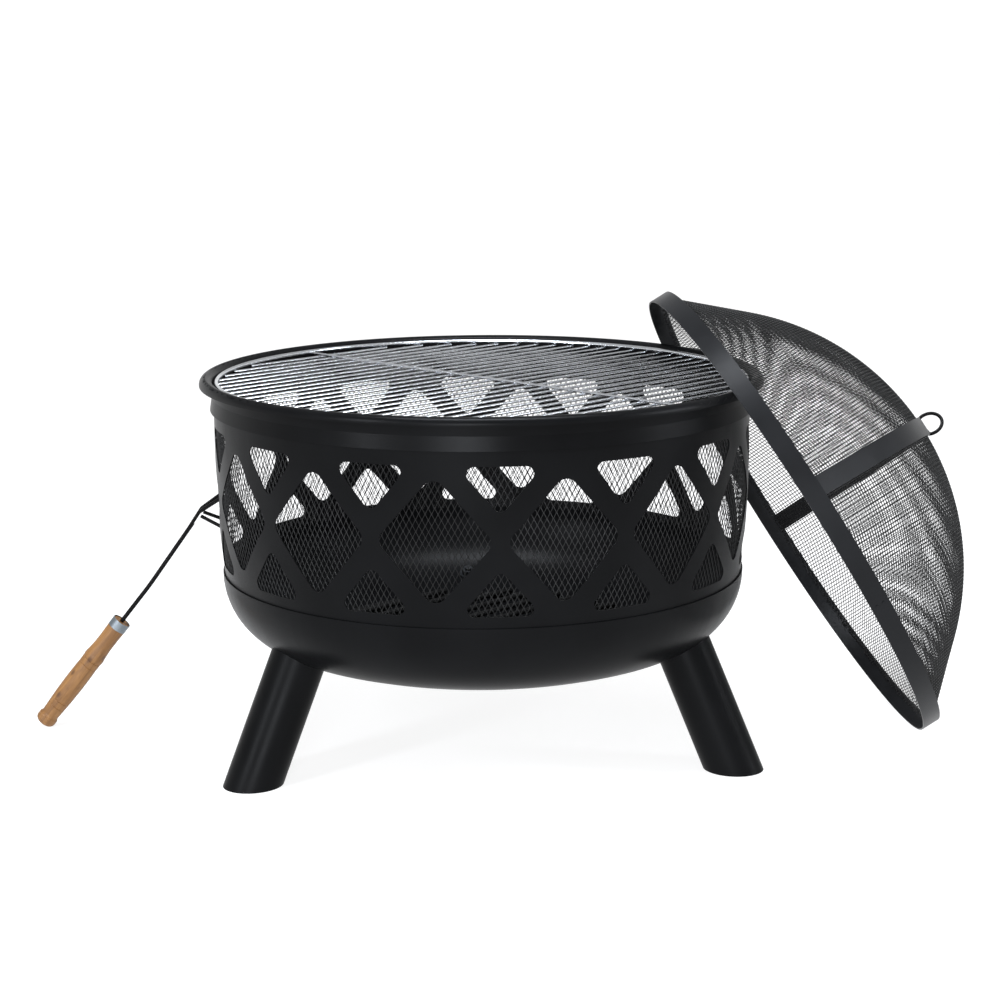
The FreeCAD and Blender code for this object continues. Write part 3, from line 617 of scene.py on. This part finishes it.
def studio():
    """Bright near the horizon and dim overhead, so that the soft boxes draw the highlights."""
    world = bpy.data.worlds.new("studio")
    world.use_nodes = True
    tree = world.node_tree
    direction = tree.nodes.new("ShaderNodeTexCoord")
    parts = tree.nodes.new("ShaderNodeSeparateXYZ")
    level = tree.nodes.new("ShaderNodeMapRange")
    level.interpolation_type = "SMOOTHSTEP"
    level.inputs["From Min"].default_value = HORIZON_RISE
    level.inputs["From Max"].default_value = SKY_RISE
    level.inputs["To Min"].default_value = HORIZON_LEVEL
    level.inputs["To Max"].default_value = SKY_LEVEL
    tree.links.new(direction.outputs["Generated"], parts.inputs["Vector"])
    tree.links.new(parts.outputs["Z"], level.inputs["Value"])
    backdrop = tree.nodes["Background"]
    backdrop.inputs["Color"].default_value = WHITE
    tree.links.new(level.outputs["Result"], backdrop.inputs["Strength"])
    bpy.context.scene.world = world
    for box in SOFT_BOXES:
        soft_light(*box)
    view = bpy.context.scene.view_settings
    view.view_transform = "Standard"
    view.look = "None"
    view.exposure = 0.0


# ---------------------------------------------------------------- the scene

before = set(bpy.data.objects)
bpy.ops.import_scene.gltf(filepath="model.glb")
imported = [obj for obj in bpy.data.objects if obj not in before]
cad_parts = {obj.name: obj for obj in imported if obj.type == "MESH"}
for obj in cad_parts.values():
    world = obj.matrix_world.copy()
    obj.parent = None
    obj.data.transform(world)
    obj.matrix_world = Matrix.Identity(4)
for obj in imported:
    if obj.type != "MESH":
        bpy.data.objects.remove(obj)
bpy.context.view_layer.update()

coat_pressed = powder_coat("coat_pressed", sway=0.0006)
coat_tube = powder_coat("coat_tube", gloss=0.38)
coat_strip = powder_coat("coat_strip", tone=0.008, gloss=0.34, specular=0.09)
coat_rod = wire_coat("coat_rod", tone=0.003, gloss=0.34, specular=0.07)
coat_log_grate = wire_coat("coat_log_grate", tone=0.005, gloss=0.5, specular=0.1)
coat_liner = wire_coat("coat_liner", tone=0.010, gloss=0.42, specular=0.17)
coat_screen = wire_coat("coat_screen", tone=0.008, gloss=0.38, specular=0.16)
chrome = plated_metal("chrome", dark=(0.60, 0.62, 0.65), light=(0.70, 0.72, 0.75), gloss=0.16,
                      relief=0.01 * MM, streaks=0.12)
dark_zinc = plated_metal("dark_zinc", dark=(0.03, 0.032, 0.035), light=(0.06, 0.063, 0.067), gloss=0.4)
ferrule_zinc = plated_metal("ferrule_zinc", dark=(0.17, 0.195, 0.215), light=(0.27, 0.30, 0.325),
                            gloss=0.42, grain=900)

paint(coat_pressed, "rim_ring", "tub", "lattice_band")
paint(coat_tube, "leg_right", "leg_rear", "leg_left",
      "leg_plate_right", "leg_plate_rear", "leg_plate_left",
      "grate_tab_1", "grate_tab_2", "grate_tab_3", "grate_tab_4")
paint(coat_strip, "screen_hoop", "strap_lower", "strap_upper", "hoop_rivets")
paint(coat_rod, "poker_rod", "fork_prongs", "fork_hooks", "eye_bolt")
paint(coat_log_grate, "log_grate_ring", "log_grate_bars", "log_grate_cross_bar")
paint(chrome, "grate_ring", "grate_bars", "grate_cross_wire")
paint(dark_zinc, "leg_bolt_right", "leg_bolt_rear", "leg_bolt_left",
      "leg_washer_right", "leg_washer_rear", "leg_washer_left",
      "leg_nut_right", "leg_nut_rear", "leg_nut_left", "eye_washer", "eye_nut")
paint(ferrule_zinc, "ferrule")
paint(handle_wood(), "wood_handle")

for name in ("lattice_band", "tub", "rim_ring"):
    break_edges(name)
expanded_liner(coat_liner)
woven_dome(coat_screen)
aim_camera()
pale_floor()
studio()
